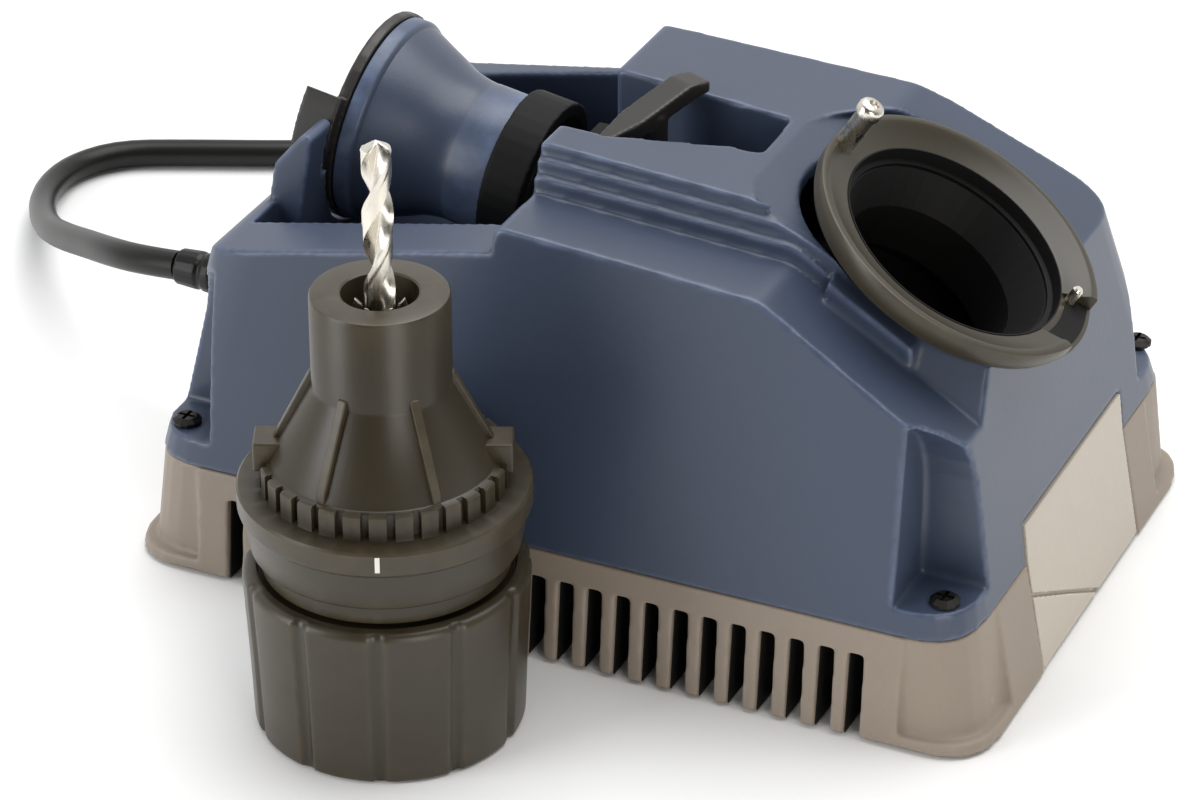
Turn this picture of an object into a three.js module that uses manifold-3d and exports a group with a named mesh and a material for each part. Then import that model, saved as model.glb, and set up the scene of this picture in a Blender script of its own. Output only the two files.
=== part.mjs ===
// Bench-top drill bit sharpener with its bit chuck, in millimetres, +Z up, front towards -Y.
// The machine is laid out about the middle of its base; the chuck stands in front of it.
import * as THREE from 'three';
import { mergeVertices } from 'three/addons/utils/BufferGeometryUtils.js';
import Module from 'manifold-3d';

const wasm = await Module();
wasm.setup();
const rad = THREE.MathUtils.degToRad;

// ---------------------------------------------------------------- driving dimensions
const GAP = 0.3;                 // clearance kept between pieces that touch
const BASE = { width: 205.6, depth: 140, seamWidth: 195, seamDepth: 135.6, corner: 14, wall: 4 };
const FLOOR_GAP = 0.6;           // the base hangs this far above the bench, on its feet
const SEAM_Z = 26.6;             // top of the grey base
const RIM = { top: 3.4, depth: 2.2 };   // foot rim at each base corner, and how far it stands out
const GRILLE = { pitch: 6.73, slot: 3.5, first: -74.5, count: 23, top: 20.4, wallDepth: 11 };

const HOUSING = {
  bottom: { z: SEAM_Z + GAP, x0: -97.3, x1: 97.3, y0: -68, y1: 66.5 },
  top: { z: 114, x0: -75.5, x1: 85.2, y0: -59.2, y1: 26 },
  wall: 3.2,
  humpLeft: -14,                 // left end of the high block
  humpTop: 109.3,
  slopeX: 47,                    // where the top breaks into the port slope
  slopeZ: 105.3,
};
const SLOPE = 31;                // lean of the port axis from upright, degrees, for a 118 degree point
const SWING = 8.5;               // the port swings this much towards upright, for a 135 degree point
const BAY = { x0: -79, x1: -13, y0: -47, y1: 34, floor: 52 };
const SCOOP = { x: 81, front: 51, rear: 46, floor: 33, top: 76.5, arch: 24 };
const WALL_BEHIND_SCOOP = 2.6;
const RECESS_FLOOR = 88;

const PORT = {
  x: 74.5, y: -16, z: 95.6, rimRadius: 33.8, rimThick: 6, bore: 26,
  depth: 40, tubeRadius: 28, neckRadius: 21.6,
};
const GRIND_DEPTH = 65;          // from the port rim down its axis to the grinding point
const HORN = { x: -74, y: 0, z: 86, tilt: 10, rimRadius: 24.5, collarRadius: 16.4, bore: 15, length: 36 };

const MOTOR = { y: -16, z: 25, radius: 19, x0: -50, x1: 10 };
const WHEEL = { x0: 28, x1: 54, radius: 14.6 };
const SHAFT_RADIUS = 2.5;

const DOOR = { y0: -29, y1: 33, top: 36, thick: 2.4 };
const SWITCH = { x: 40, z: 14, width: 21, height: 13 };

const CHUCK = { x: -20.4, y: -99.7, turn: 24, bore: 8, noseRadius: 14.6, top: 101.7 };
const BIT = { radius: 3.25, bottom: 46, tip: 136, point: 118 };
const JAWS = 6;
const KNOB_GROOVES = 11;

const CORD_RADIUS = 3.5;
const RELIEF = { x: -95.2, y: -12, z: 42.4, length: 23.2 };

// ---------------------------------------------------------------- materials
function paint(color, roughness, metalness = 0) {
  return new THREE.MeshStandardMaterial({ color, roughness, metalness });
}
const BLUE = paint(0x4a5470, 0.5);
const TAUPE = paint(0x94897b, 0.55);
const PALE = paint(0xb5aa99, 0.5);
const BLACK = paint(0x23211f, 0.45);
const CHUCK_BLACK = paint(0x4b443b, 0.4);
const RUBBER = paint(0x1c1b1a, 0.8);
const STEEL = paint(0xc9c6c0, 0.3, 1);
const DARK_STEEL = paint(0x77757a, 0.45, 1);
const COPPER = paint(0xa05a34, 0.4, 1);
const GRIT = paint(0x8b8a86, 0.85, 0.4);
const BOARD = paint(0x2f5a3c, 0.6);
const CARBON = paint(0x2b2b2d, 0.7);
const WHITE = paint(0xe9e6dd, 0.5);

// ---------------------------------------------------------------- solids
// Turns a closed geometry into a solid whose faces point out.
function toSolid(geometry) {
  const plain = geometry.clone();
  plain.deleteAttribute('normal');
  plain.deleteAttribute('uv');
  const merged = mergeVertices(plain, 1e-4);
  const p = merged.attributes.position.array;
  const index = merged.index.array;
  const triangles = [];
  let volume = 0;
  for (let i = 0; i < index.length; i += 3) {
    const [a, b, c] = [index[i], index[i + 1], index[i + 2]];
    if (a === b || b === c || a === c) continue;
    triangles.push(a, b, c);
    const corners = [a, b, c].map((k) => new THREE.Vector3().fromArray(p, 3 * k));
    volume += corners[0].dot(corners[1].cross(corners[2]));
  }
  if (volume < 0) {
    for (let i = 0; i < triangles.length; i += 3) {
      [triangles[i], triangles[i + 1]] = [triangles[i + 1], triangles[i]];
    }
  }
  const mesh = new wasm.Mesh({
    numProp: 3,
    vertProperties: Float32Array.from(p),
    triVerts: Uint32Array.from(triangles),
  });
  return new wasm.Manifold(mesh);
}

function toGeometry(solid) {
  const mesh = solid.getMesh();
  const geometry = new THREE.BufferGeometry();
  geometry.setAttribute('position', new THREE.BufferAttribute(Float32Array.from(mesh.vertProperties), 3));
  geometry.setIndex(Array.from(mesh.triVerts));
  geometry.computeVertexNormals();
  return geometry;
}

function join(first, ...rest) {
  return rest.reduce((whole, part) => whole.add(part), first);
}

function cut(first, ...tools) {
  return tools.reduce((whole, tool) => whole.subtract(tool), first);
}

function box(x0, x1, y0, y1, z0, z1) {
  const geometry = new THREE.BoxGeometry(x1 - x0, y1 - y0, z1 - z0);
  return toSolid(geometry.translate((x0 + x1) / 2, (y0 + y1) / 2, (z0 + z1) / 2));
}

// Upright cylinder or cone from z0 to z1.
function rod(radius, z0, z1, sides = 32, topRadius = radius) {
  const geometry = new THREE.CylinderGeometry(topRadius, radius, z1 - z0, sides);
  return toSolid(geometry.rotateX(Math.PI / 2).translate(0, 0, (z0 + z1) / 2));
}

function rodAlongX(radius, x0, x1, sides = 32) {
  const geometry = new THREE.CylinderGeometry(radius, radius, x1 - x0, sides);
  return toSolid(geometry.rotateZ(Math.PI / 2).translate((x0 + x1) / 2, 0, 0));
}

function ring(outer, inner, z0, z1, sides = 48) {
  return cut(rod(outer, z0, z1, sides), rod(inner, z0 - 1, z1 + 1, sides));
}

// Turned piece about Z from a closed [radius, z] outline.
function turned(outline, sides = 48) {
  const points = outline.map(([r, z]) => new THREE.Vector2(r, z));
  points.push(points[0].clone());
  return toSolid(new THREE.LatheGeometry(points, sides).rotateX(Math.PI / 2));
}

// Closed shape through [x, y, radius] corners, with each corner rounded by its radius.
function rounded(corners) {
  const shape = new THREE.Shape();
  corners.forEach(([x, y, radius = 0], i) => {
    const here = new THREE.Vector2(x, y);
    const before = new THREE.Vector2(...corners.at(i - 1).slice(0, 2));
    const after = new THREE.Vector2(...corners[(i + 1) % corners.length].slice(0, 2));
    const back = before.sub(here).normalize();
    const ahead = after.sub(here).normalize();
    const reach = radius / Math.tan(Math.acos(back.dot(ahead)) / 2);
    const start = here.clone().addScaledVector(back, reach);
    const end = here.clone().addScaledVector(ahead, reach);
    if (i === 0) shape.moveTo(start.x, start.y);
    else shape.lineTo(start.x, start.y);
    if (radius > 0) shape.quadraticCurveTo(x, y, end.x, end.y);
  });
  shape.closePath();
  return shape;
}

// A plan outline raised from z0 to z1.
function raised(corners, z0, z1, curveSegments = 5) {
  const options = { depth: z1 - z0, bevelEnabled: false, curveSegments };
  return toSolid(new THREE.ExtrudeGeometry(rounded(corners), options).translate(0, 0, z0));
}

// A front outline of [x, z] corners, carried from y0 to y1.
function alongY(corners, y0, y1, curveSegments = 5) {
  const options = { depth: y1 - y0, bevelEnabled: false, curveSegments };
  const geometry = new THREE.ExtrudeGeometry(rounded(corners), options);
  return toSolid(geometry.rotateX(Math.PI / 2).translate(0, y1, 0));
}

// A side outline of [y, z] corners, carried from x0 to x1.
function alongX(corners, x0, x1, curveSegments = 5) {
  const options = { depth: x1 - x0, bevelEnabled: false, curveSegments };
  const geometry = new THREE.ExtrudeGeometry(rounded(corners), options);
  const turn = new THREE.Matrix4().makeBasis(
    new THREE.Vector3(0, 1, 0),
    new THREE.Vector3(0, 0, 1),
    new THREE.Vector3(1, 0, 0),
  );
  return toSolid(geometry.applyMatrix4(turn).translate(x0, 0, 0));
}

// Round-cornered block whose four sides lean evenly from a bottom rectangle to a top one.
function leaning(bottom, top, radius) {
  const { x0, x1, y0, y1 } = bottom;
  const height = top.z - bottom.z;
  const corners = [[x0, y0, radius], [x1, y0, radius], [x1, y1, radius], [x0, y1, radius]];
  const options = { depth: height, bevelEnabled: false, curveSegments: 6 };
  const geometry = new THREE.ExtrudeGeometry(rounded(corners), options);
  const p = geometry.attributes.position;
  for (let i = 0; i < p.count; i += 1) {
    const t = p.getZ(i) / height;
    const left = THREE.MathUtils.lerp(x0, top.x0, t);
    const right = THREE.MathUtils.lerp(x1, top.x1, t);
    const front = THREE.MathUtils.lerp(y0, top.y0, t);
    const rear = THREE.MathUtils.lerp(y1, top.y1, t);
    const x = THREE.MathUtils.mapLinear(p.getX(i), x0, x1, left, right);
    const y = THREE.MathUtils.mapLinear(p.getY(i), y0, y1, front, rear);
    p.setXYZ(i, x, y, bottom.z + p.getZ(i));
  }
  return toSolid(geometry);
}

function inset(rect, by) {
  return { z: rect.z, x0: rect.x0 + by, x1: rect.x1 - by, y0: rect.y0 + by, y1: rect.y1 - by };
}

// Places a solid by a group's position and turn, for cutting one piece by another.
function placed(solid, place) {
  place.updateMatrix();
  return solid.transform(place.matrix.toArray());
}

// ---------------------------------------------------------------- places
const assembly = new THREE.Group();
const machine = new THREE.Group();
assembly.add(machine);

// Local +Z of the port runs out of its mouth; the origin is the middle of the rim's top plane.
function portPlace(swing) {
  const place = new THREE.Group();
  const grind = new THREE.Vector3(0, 0, -GRIND_DEPTH).applyAxisAngle(new THREE.Vector3(0, 1, 0), rad(SLOPE));
  const lean = rad(SLOPE - swing);
  const axis = new THREE.Vector3(Math.sin(lean), 0, Math.cos(lean));
  place.position.set(PORT.x, PORT.y, PORT.z).add(grind).addScaledVector(axis, GRIND_DEPTH);
  place.rotation.y = lean;
  return place;
}
const port = portPlace(0);
machine.add(port);

// Local +Z of the horn runs out of its mouth, to the left and a little up.
const horn = new THREE.Group();
horn.position.set(HORN.x, HORN.y, HORN.z);
horn.rotation.y = -rad(90 - HORN.tilt);
machine.add(horn);

// Local +Z of the motor is the shaft, along the machine to the right.
const motor = new THREE.Group();
motor.position.set(0, MOTOR.y, MOTOR.z);
motor.rotation.y = Math.PI / 2;
machine.add(motor);

const chuck = new THREE.Group();
chuck.position.set(CHUCK.x, CHUCK.y, 0);
chuck.rotation.z = rad(CHUCK.turn);
assembly.add(chuck);

function addPart(group, name, solid, material) {
  const mesh = new THREE.Mesh(toGeometry(solid), material);
  mesh.name = name;
  group.add(mesh);
  return mesh;
}

function grindingPoint() {
  return new THREE.Vector3(
    PORT.x - GRIND_DEPTH * Math.sin(rad(SLOPE)),
    PORT.y,
    PORT.z - GRIND_DEPTH * Math.cos(rad(SLOPE)),
  );
}

// ---------------------------------------------------------------- base
const SEAM = {
  z: SEAM_Z, x0: -BASE.seamWidth / 2, x1: BASE.seamWidth / 2, y0: -BASE.seamDepth / 2, y1: BASE.seamDepth / 2,
};
const BOTTOM = {
  z: FLOOR_GAP, x0: -BASE.width / 2, x1: BASE.width / 2, y0: -BASE.depth / 2, y1: BASE.depth / 2,
};

function cornerSigns() {
  return [[-1, -1], [1, -1], [-1, 1], [1, 1]];
}

function grilleSlots() {
  const slots = [];
  for (let i = 0; i < GRILLE.count; i += 1) {
    const x = GRILLE.first + i * GRILLE.pitch;
    slots.push(box(x - GRILLE.slot / 2, x + GRILLE.slot / 2, -80, -50, -1, GRILLE.top));
  }
  return slots;
}

// Takes the corner posts back a little, which leaves the foot rim below them.
function cornerPostCutters() {
  const top = { ...inset(SEAM, 0.4), z: SEAM_Z + 1 };
  const column = leaning({ ...inset(BOTTOM, RIM.depth), z: 0 }, top, BASE.corner);
  return cornerSigns().map(([sx, sy]) => {
    const x = [sx * 84, sx * 115].sort((a, b) => a - b);
    const y = [sy * 48, sy * 90].sort((a, b) => a - b);
    return box(...x, ...y, RIM.top, SEAM_Z + 1).subtract(column);
  });
}

function baseShell() {
  const outer = leaning(BOTTOM, SEAM, BASE.corner);
  const grilleBack = -BASE.depth / 2 + GRILLE.wallDepth;
  const hollow = leaning(
    { ...inset(BOTTOM, BASE.wall), z: -1 },
    { ...inset(SEAM, BASE.wall), z: SEAM_Z + 1 },
    BASE.corner - BASE.wall,
  ).subtract(box(-81, 81, -90, grilleBack, -2, 40));
  const doorway = box(80, 115, DOOR.y0 - GAP, DOOR.y1 + GAP, -1, 40);
  const switchHole = box(
    SWITCH.x - SWITCH.width / 2, SWITCH.x + SWITCH.width / 2, 55, 90,
    SWITCH.z - SWITCH.height / 2, SWITCH.z + SWITCH.height / 2,
  );
  return cut(outer, hollow, doorway, switchHole, ...grilleSlots(), ...cornerPostCutters());
}

const PLATE = { bottom: 1.4, top: 4 };
const FEET = [[-84, -50], [84, -50], [-84, 54], [84, 54]];

function bottomPlate() {
  const room = inset(BOTTOM, BASE.wall + 1.2);
  const grilleBack = -BASE.depth / 2 + GRILLE.wallDepth;
  const plate = raised([
    [room.x0, grilleBack + GAP, 4], [room.x1 - 0.6, grilleBack + GAP, 4],
    [room.x1 - 0.6, room.y1, 9], [room.x0, room.y1, 9],
  ], PLATE.bottom, PLATE.top);
  const holes = FEET.map(([x, y]) => rod(3.3, 0, 6, 16).translate([x, y, 0]));
  const vents = [];
  for (let i = 0; i < 7; i += 1) {
    const x = -48 + i * 7;
    vents.push(box(x, x + 3, 34, 58, 0, 6));
  }
  return cut(plate, ...holes, ...vents);
}

function foot() {
  return turned([[0, 0], [7, 0], [7, 1.1], [3, 1.1], [3, 4.5], [0, 4.5]], 16);
}

// ---------------------------------------------------------------- housing
// Front outline of the high block: nearly level top, then the port slope down to the right end.
function humpOutline(drop, insetBy = 0) {
  const run = 46;
  const slopeEnd = [HOUSING.slopeX + run, HOUSING.slopeZ - run * Math.tan(rad(SLOPE))];
  const low = HOUSING.bottom.z - 8;
  return [
    [HOUSING.humpLeft + insetBy, low],
    [110 - insetBy, low],
    [110 - insetBy, slopeEnd[1] - drop - 14 - insetBy],
    [slopeEnd[0], slopeEnd[1] - drop - insetBy, insetBy > 0 ? 0 : 5],
    [HOUSING.slopeX, HOUSING.slopeZ - drop - insetBy, 8],
    [HOUSING.humpLeft + insetBy, HOUSING.humpTop - drop - insetBy, 3],
  ];
}

// The front of the high block steps back in a broad shelf and two fine ledges.
const STEPS = [
  { y: -80, drop: 10.2 },
  { y: -42.6, drop: 6.4 },
  { y: -40.8, drop: 3 },
  { y: -39, drop: 0 },
];

const STRIP_END = 75.5;          // right end of the raised strip in front of the port

// Smooth rise to the right of the strip, in place of the ledges.
function portRamp() {
  const top = STEPS.at(-1).y;
  const rise = new THREE.Matrix4().makeShear(0, 0, 0, 1.4, 0, 0);
  const sheared = alongY(humpOutline(0), -8, 1).transform(rise.toArray()).translate([0, top, 0]);
  return sheared.intersect(box(STRIP_END, 120, -60, top + 1, 0, 150));
}

function housingBody() {
  const envelope = leaning(HOUSING.bottom, HOUSING.top, BASE.corner);
  const low = HOUSING.bottom.z - 8;
  const rearOutline = [
    [-90, low], [80, low], [66.5, HOUSING.bottom.z + 4], [59, 46, 12], [46, 90], [34, 98.5],
    [25, HOUSING.humpTop + 0.5, 4], [20, HOUSING.humpTop + 8], [-90, HOUSING.humpTop + 8],
  ];
  const leftOutline = [
    [-110, low], [HOUSING.humpLeft + 4, low], [HOUSING.humpLeft + 4, 93.6], [HOUSING.humpLeft - 6, 92, 4],
    [-84, 78.5, 9], [-100, 40, 0], [-110, 30],
  ];
  const steps = STEPS.map(({ y, drop }) => alongY(humpOutline(drop), y, 80));
  const strip = alongY(humpOutline(5.4), -46.4, 0).intersect(box(56, STRIP_END, -60, 0, 0, 150));
  const rough = join(alongY(leftOutline, -80, 80), ...steps, strip, portRamp());
  return rough.intersect(envelope).intersect(alongX(rearOutline, -120, 120));
}

// Arched hollows at the corners, which leave a driver room over the housing screws.
function scoops(grow) {
  const { floor, top, arch } = SCOOP;
  return cornerSigns().map(([sx, sy]) => {
    const open = sy * 95;
    const back = sy * ((sy < 0 ? SCOOP.front : SCOOP.rear) - grow);
    const outline = [
      [open, floor - grow], [back, floor - grow], [back, top + grow, arch + grow], [open, top + grow],
    ];
    const x = [sx * (SCOOP.x - grow), sx * 115].sort((a, b) => a - b);
    return alongX(outline, ...x, 8);
  });
}

const RECESS = [[-20, -29], [-3, -29], [22.6, -19.5, 2], [29.8, -18.8, 1.5], [29.3, -1.5, 1.5], [-20, 0.5]];

function housingHollow() {
  const wall = HOUSING.wall;
  const envelope = leaning(
    { ...inset(HOUSING.bottom, wall), z: HOUSING.bottom.z - 1 },
    inset(HOUSING.top, wall),
    BASE.corner - wall,
  );
  const underBay = box(-110, BAY.x1 + 10, -80, 50, 20, BAY.floor - wall);
  const rear = alongX([
    [-54, 20], [62, 20], [62, 31], [55, 46, 10], [43, 88], [30.6, 96.6], [23.4, HOUSING.humpTop - wall, 4],
    [-36, HOUSING.humpTop - wall],
    [-36, HOUSING.humpTop - 10.2 - wall], [-54, HOUSING.humpTop - 10.2 - wall],
  ], HOUSING.humpLeft + wall, 120);
  const underHump = alongY(humpOutline(0, wall), -80, 80).intersect(rear);
  const shelfRoof = alongY(humpOutline(10.2, wall), -80, -36);
  const kept = underHump.subtract(box(-40, 120, -80, -36, 0, 200)).add(underHump.intersect(shelfRoof));
  const recessWalls = box(-40, 33.2, -32.4, 4, RECESS_FLOOR - wall, 130);
  return cut(underBay.add(kept).intersect(envelope), recessWalls, ...scoops(WALL_BEHIND_SCOOP));
}

// What the port tube and its rim sweep through as they swing.
function portSweep() {
  return [0, SWING / 2, SWING].map((swing) => {
    const tool = join(
      rod(PORT.neckRadius + 0.6, -60, 0, 48),
      rod(PORT.neckRadius + 0.6, -14.4, -PORT.rimThick, 48, PORT.neckRadius + 4.6),
      rod(PORT.rimRadius + 0.6, -PORT.rimThick - 0.5, 14, 48),
    );
    return placed(tool, portPlace(swing));
  });
}

// Dished place at the upper left of the port, where its rim comes down as it swings.
const DISH = { radius: 36.4, floor: -6.9, front: -22.4, wall: 3.2 };

function portDish(grow) {
  const round = rod(DISH.radius + grow, DISH.floor - grow, 12, 48);
  return placed(round.intersect(box(-60, grow, DISH.front - grow, 60, -40, 20)), portPlace(SWING));
}

// Left end wall of the bay. It leans with the horn, whose mouth sits in its round cradle.
function endWall() {
  const front = alongY([[-86.2, 50], [-77.5, 50], [-69.8, 96], [-71.6, 97.6, 2], [-79.3, 88.5, 3]], -36, 0, 3);
  const rear = alongY([[-86.2, 50], [-77.5, 50], [-72.4, 82], [-80.6, 82, 2]], 0, 36, 3);
  return front.add(rear);
}

// Room round the horn's mouth: close below, wider above for the tab of the timing ring.
function mouthRoom() {
  const close = rod(HORN.rimRadius + 0.7, -20, 40, 40);
  const wide = rod(TAB.radius + 0.8, -3.6, 40, 40).intersect(box(-2, 60, -40, 40, -20, 60));
  return placed(close.add(wide), horn);
}

function topHousing() {
  const bay = box(BAY.x0, BAY.x1, BAY.y0, BAY.y1, BAY.floor, 130);
  const saddle = box(-52, -44, -11, 11, BAY.floor - 1, 72).subtract(
    placed(rod(HORN.collarRadius + 1.2, -60, 20, 40), horn),
  );
  const doorway = box(84, 115, DOOR.y0 - GAP, DOOR.y1 + GAP, 20, DOOR.top + GAP);
  const cordHole = alongX([
    [RELIEF.y - 5.4, RELIEF.z - 4.4, 2], [RELIEF.y + 5.4, RELIEF.z - 4.4, 2],
    [RELIEF.y + 5.4, RELIEF.z + 4.4, 2], [RELIEF.y - 5.4, RELIEF.z + 4.4, 2],
  ], -110, -80, 3);
  const body = housingBody();
  const walls = cut(body, bay).add(endWall());
  const shell = join(cut(walls, mouthRoom(), housingHollow()), saddle, portDish(DISH.wall).intersect(body));
  return cut(
    shell, raised(RECESS, RECESS_FLOOR, 130), doorway, cordHole, ...portSweep(), portDish(0), ...scoops(0),
    ...screwPlaces().map(([x, y]) => rod(2.2, 20, 40, 16).translate([x, y, 0])),
  );
}

function screwPlaces() {
  return [[-90.2, -60.6], [90.2, -60.6], [-90.8, 61.4], [90.8, 61.4]];
}

// Cross-head screw standing in a corner scoop.
function housingScrew() {
  const body = turned([
    [0, SCOOP.floor - 5.8], [1.8, SCOOP.floor - 5.8], [1.8, SCOOP.floor + GAP], [3.3, SCOOP.floor + GAP],
    [3.3, SCOOP.floor + 1], [2.2, SCOOP.floor + 1.9], [0, SCOOP.floor + 1.9],
  ], 12);
  const z = SCOOP.floor + 0.9;
  return cut(body, box(-2, 2, -0.4, 0.4, z, z + 3), box(-0.4, 0.4, -2, 2, z, z + 3));
}

function accessDoor() {
  const slab = alongY([
    [102.5, 1], [97.6, SEAM_Z], [96.4, DOOR.top], [96.4 - DOOR.thick, DOOR.top],
    [97.4 - DOOR.thick, SEAM_Z], [102.5 - DOOR.thick, 1],
  ], DOOR.y0, DOOR.y1);
  const skin = cut(slab, slab.translate([-1.1, 0, 0]));
  const line = box(90, 110, -1, 40, -0.5, 0.5).rotate([-27, 0, 0]).translate([0, DOOR.y0, 19]);
  return slab.subtract(skin.intersect(line));
}

// ---------------------------------------------------------------- sharpening port
function portRing() {
  const t = PORT.rimThick;
  const outline = [
    [PORT.bore, -t], [PORT.bore, -2.8], [PORT.bore + 4.8, -0.9], [PORT.bore + 6, 0], [PORT.rimRadius, 0],
    [PORT.rimRadius, -t + 1.6], [PORT.rimRadius - 1.4, -t],
  ];
  const notch = box(PORT.bore + 0.6, 40, -6.2, 11.4, -3, 5);
  return cut(
    turned(outline, 48), notch,
    rod(2.6, -20, 10, 16).translate([-31, 0, 0]),
    rod(INDEX_PIN.radius + GAP, -20, 10, 16).translate([INDEX_PIN.x, INDEX_PIN.y, 0]),
  );
}

// Tube under the rim, with two arms down to the pivot pins beside the grinding point.
function sharpeningTube() {
  const { bore, depth, tubeRadius: wide, neckRadius: neck } = PORT;
  const t = PORT.rimThick + GAP;
  const tube = turned([
    [wide, -depth], [wide, -32], [neck, -26], [neck, -14], [neck + 3.8, -t],
    [neck + 2.6, -t], [neck - 1.6, -14], [neck - 1.6, -26], [bore, -32], [bore, -depth],
  ], 40);
  const arms = [-1, 1].map((side) => {
    const y = side * 24.6;
    const top = -GRIND_DEPTH - 5;
    const outline = [[-10, -depth + 6], [10, -depth + 6], [5.6, top, 3], [-5.6, top, 3]];
    return alongY(outline, y - 1.3, y + 1.3, 4);
  });
  const pivot = alongY([[-2.4, -67.4, 2], [2.4, -67.4, 2], [2.4, -62.6, 2], [-2.4, -62.6, 2]], -40, 40, 3);
  return join(tube, ...arms).subtract(pivot);
}

// Hardened pin that rides in the chuck's cam.
function camPin() {
  return turned([
    [0, -5.6], [2.3, -5.6], [2.3, 8.4], [2.9, 8.6], [2.9, 10.6], [2.2, 11.4], [0, 11.6],
  ], 24);
}

const INDEX_PIN = { x: 26.8, y: 9.6, radius: 1.2 };

function indexPin() {
  const r = INDEX_PIN.radius;
  return turned([[0, -4.4], [r, -4.4], [r, 0.6], [r - 0.4, 1.1], [0, 1.1]], 16);
}

// Post beside the wheel, with the pin that one arm of the port turns on.
function pivotPost(side) {
  const at = grindingPoint();
  const y = [MOTOR.y + side * 27.4, MOTOR.y + side * 32.4].sort((a, b) => a - b);
  const post = box(at.x - 6, at.x + 6, ...y, PLATE.top + GAP, at.z + 6);
  const footing = box(at.x - 9, at.x + 9, y[0] - 1.6, y[1] + 1.6, PLATE.top + GAP, 8);
  const pin = toSolid(new THREE.CylinderGeometry(1.9, 1.9, 9, 20)).translate([at.x, MOTOR.y + side * 26, at.z]);
  return join(post, footing, pin);
}

// ---------------------------------------------------------------- angle lock lever
const LEVER = { x: 0.8, y: -12.5, turn: 25 };

function leverGroup() {
  const place = new THREE.Group();
  place.position.set(LEVER.x, LEVER.y, 0);
  place.rotation.z = -rad(LEVER.turn);
  machine.add(place);
  return place;
}

// Long bar, thin at its near tip and deep at its far end, on a round hub.
function lockLever() {
  const bar = alongX([
    [-15, 103.4], [-9, 102.8], [11, 108.4], [14.4, 108.8], [14.4, 111.4], [9, 111.8], [-15, 104.8],
  ], -3.6, 3.6);
  const taper = raised([[-1, -16], [1, -16], [3.6, -5], [3.6, 16], [-3.6, 16], [-3.6, -5]], 90, 120);
  return bar.intersect(taper).add(rod(4, RECESS_FLOOR + GAP, 107, 24));
}

// ---------------------------------------------------------------- alignment port
function alignmentHorn() {
  const h = HORN;
  const outer = [
    [h.bore, -h.length], [h.collarRadius, -h.length], [h.collarRadius, -h.length + 9.5],
    [h.collarRadius + 0.2, -h.length + 14], [h.collarRadius + 2.6, -16.5], [h.rimRadius - 1.8, -8],
    [h.rimRadius - 0.6, -6.6], [h.rimRadius - 0.6, -3.3],
  ];
  const inner = [
    [h.rimRadius - 4, -3.3], [h.rimRadius - 5.4, -10], [h.collarRadius + 0.4, -17], [h.bore, -h.length + 12],
  ];
  return turned([...outer, ...inner], 32);
}

const TAB = { from: 5, to: 34, radius: 27.2, reach: 6.4 };

// Turning ring round the horn's mouth, with a thumb tab standing out at its front.
function timingRing() {
  const r = HORN.rimRadius;
  const band = turned([[r - 4, -3], [r, -3], [r, -0.6], [r - 0.8, 0], [r - 3.2, 0], [r - 4, -0.8]], 36);
  const sides = [TAB.from, TAB.to].map((turn) => [40 * Math.sin(rad(turn)), -40 * Math.cos(rad(turn))]);
  const tab = ring(TAB.radius, r - 0.6, -2.4, TAB.reach, 64).intersect(raised([[0, 0], ...sides], -10, 20));
  return band.add(tab);
}

// Short black tube behind the horn, on a foot that stands on the floor of the bay.
function alignmentTube() {
  const { bore, length, collarRadius: collar } = HORN;
  const tube = ring(collar + 2.2, bore, -length - 10, -length - GAP, 36);
  const stand = box(-37, -32, -6, 6, BAY.floor + GAP, 66);
  const room = placed(rod(bore + 1, -60, 0, 36), horn);
  return placed(tube, horn).add(stand.subtract(room));
}

// Stop plate behind the horn's narrow end, with the slot the bit point comes through.
function alignmentPlate() {
  const plate = box(-24.6, -21.6, -17, 17, BAY.floor + GAP, 86);
  const pins = [-1, 1].map((side) => rodAlongX(1.2, -28, -23, 16).translate([0, side * 15, 74]));
  return join(plate.subtract(rodAlongX(7.5, -40, 0, 28).translate([0, 0, 74])), ...pins);
}

// One of the two fingers that close on the bit's flutes.
function timingFinger(side) {
  const y = [side * 4.2, side * 15].sort((a, b) => a - b);
  const blade = box(-27.6, -25.4, ...y, 72.4, 75.6);
  const hub = rodAlongX(3, -27.6, -25.4, 20).translate([0, side * 15, 74]);
  const hole = rodAlongX(1.5, -40, 0, 16).translate([0, side * 15, 74]);
  return blade.add(hub).subtract(hole);
}

// ---------------------------------------------------------------- motor, wheel and electrics
function motorCase() {
  const { radius: r, x0, x1 } = MOTOR;
  return turned([
    [8.4, x0], [r - 3, x0], [r, x0 + 3], [r, x1 - 3], [r - 3, x1], [8.4, x1], [8.4, x1 - 1.6], [r - 3.4, x1 - 1.6],
    [r - 1.6, x1 - 3.6], [r - 1.6, x0 + 3.6], [r - 3.4, x0 + 1.6], [8.4, x0 + 1.6],
  ], 32);
}

function motorShaft() {
  return rod(SHAFT_RADIUS, MOTOR.x0 - 4, WHEEL.x1 + 6, 20);
}

function armature() {
  const core = ring(13, SHAFT_RADIUS + GAP, -37, -4, 20);
  const slots = [];
  for (let i = 0; i < 10; i += 1) {
    slots.push(box(9, 14, -0.9, 0.9, -40, 0).rotate([0, 0, i * 36]));
  }
  const commutator = ring(6.4, SHAFT_RADIUS + GAP, -44, -36, 20);
  return cut(core, ...slots).add(commutator);
}

function bearing(x0) {
  return turned([
    [SHAFT_RADIUS + GAP, x0], [8.1, x0], [8.1, x0 + 5], [6.8, x0 + 5], [6.8, x0 + 4.6], [4.2, x0 + 4.6],
    [4.2, x0 + 5], [SHAFT_RADIUS + GAP, x0 + 5],
  ], 20);
}

function magnet(side) {
  const arc = ring(17.1, 14, -38, -3, 32);
  return arc.intersect(side > 0 ? box(-12, 12, 0, 30, -60, 20) : box(-12, 12, -30, 0, -60, 20));
}

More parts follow.
